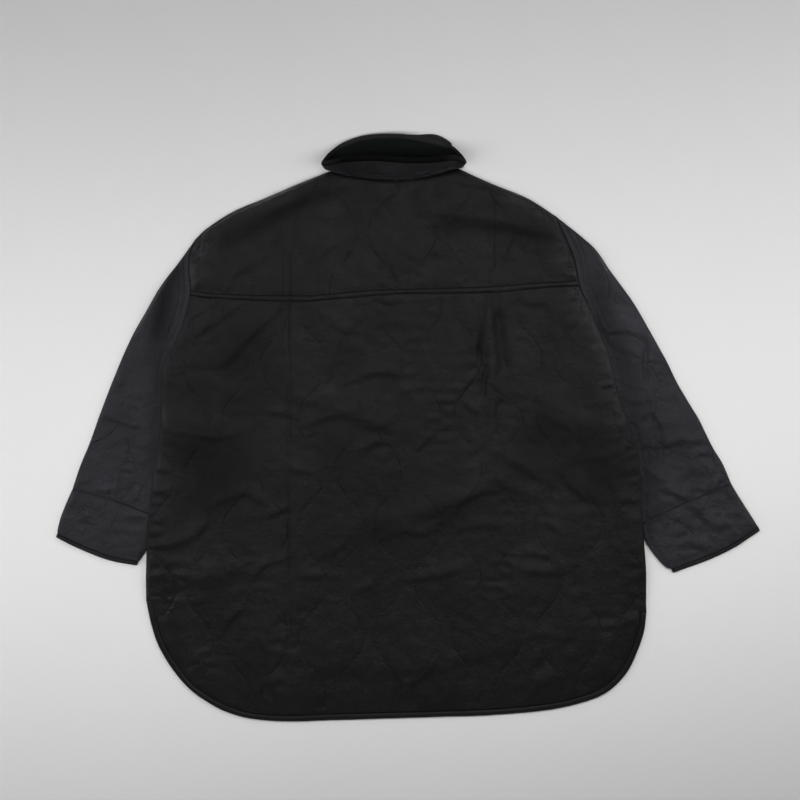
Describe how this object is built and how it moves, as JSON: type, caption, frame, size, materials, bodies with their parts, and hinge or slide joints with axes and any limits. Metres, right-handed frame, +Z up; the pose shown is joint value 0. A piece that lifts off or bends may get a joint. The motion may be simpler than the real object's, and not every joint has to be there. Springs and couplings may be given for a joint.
{
  "type": "quilted jacket",
  "caption": "Oversized quilted shirt jacket laid flat, face down: padded shell with back yoke, dropped sleeves with cuffs, curved bound hem and a fleece-lined stand collar.",
  "frame": {"origin": "middle of the garment's bounding box, on the level surface it lies on", "axes": "+X across the back to the right as it lies face down, +Y towards the collar, +Z up from the surface"},
  "size_m": [0.963, 0.8032, 0.0496],
  "materials": {
    "shell_cloth": "smooth woven synthetic, soft sheen",
    "fleece": "matt brushed pile",
    "binding_cloth": "smooth woven synthetic, soft sheen"
  },
  "bodies": {
    "root": {"back_panel": "shell_cloth", "back_yoke": "shell_cloth", "collar": "shell_cloth", "collar_binding": "binding_cloth", "collar_end": "shell_cloth", "collar_lining": "fleece", "cuff_binding_left": "binding_cloth", "cuff_binding_right": "binding_cloth", "cuff_left": "shell_cloth", "cuff_right": "shell_cloth", "front_left": "shell_cloth", "front_right": "shell_cloth", "hem_binding_back": "binding_cloth", "hem_binding_front_left": "binding_cloth", "hem_binding_front_right": "binding_cloth", "sleeve_left": "shell_cloth", "sleeve_right": "shell_cloth"}
  },
  "joints": []
}
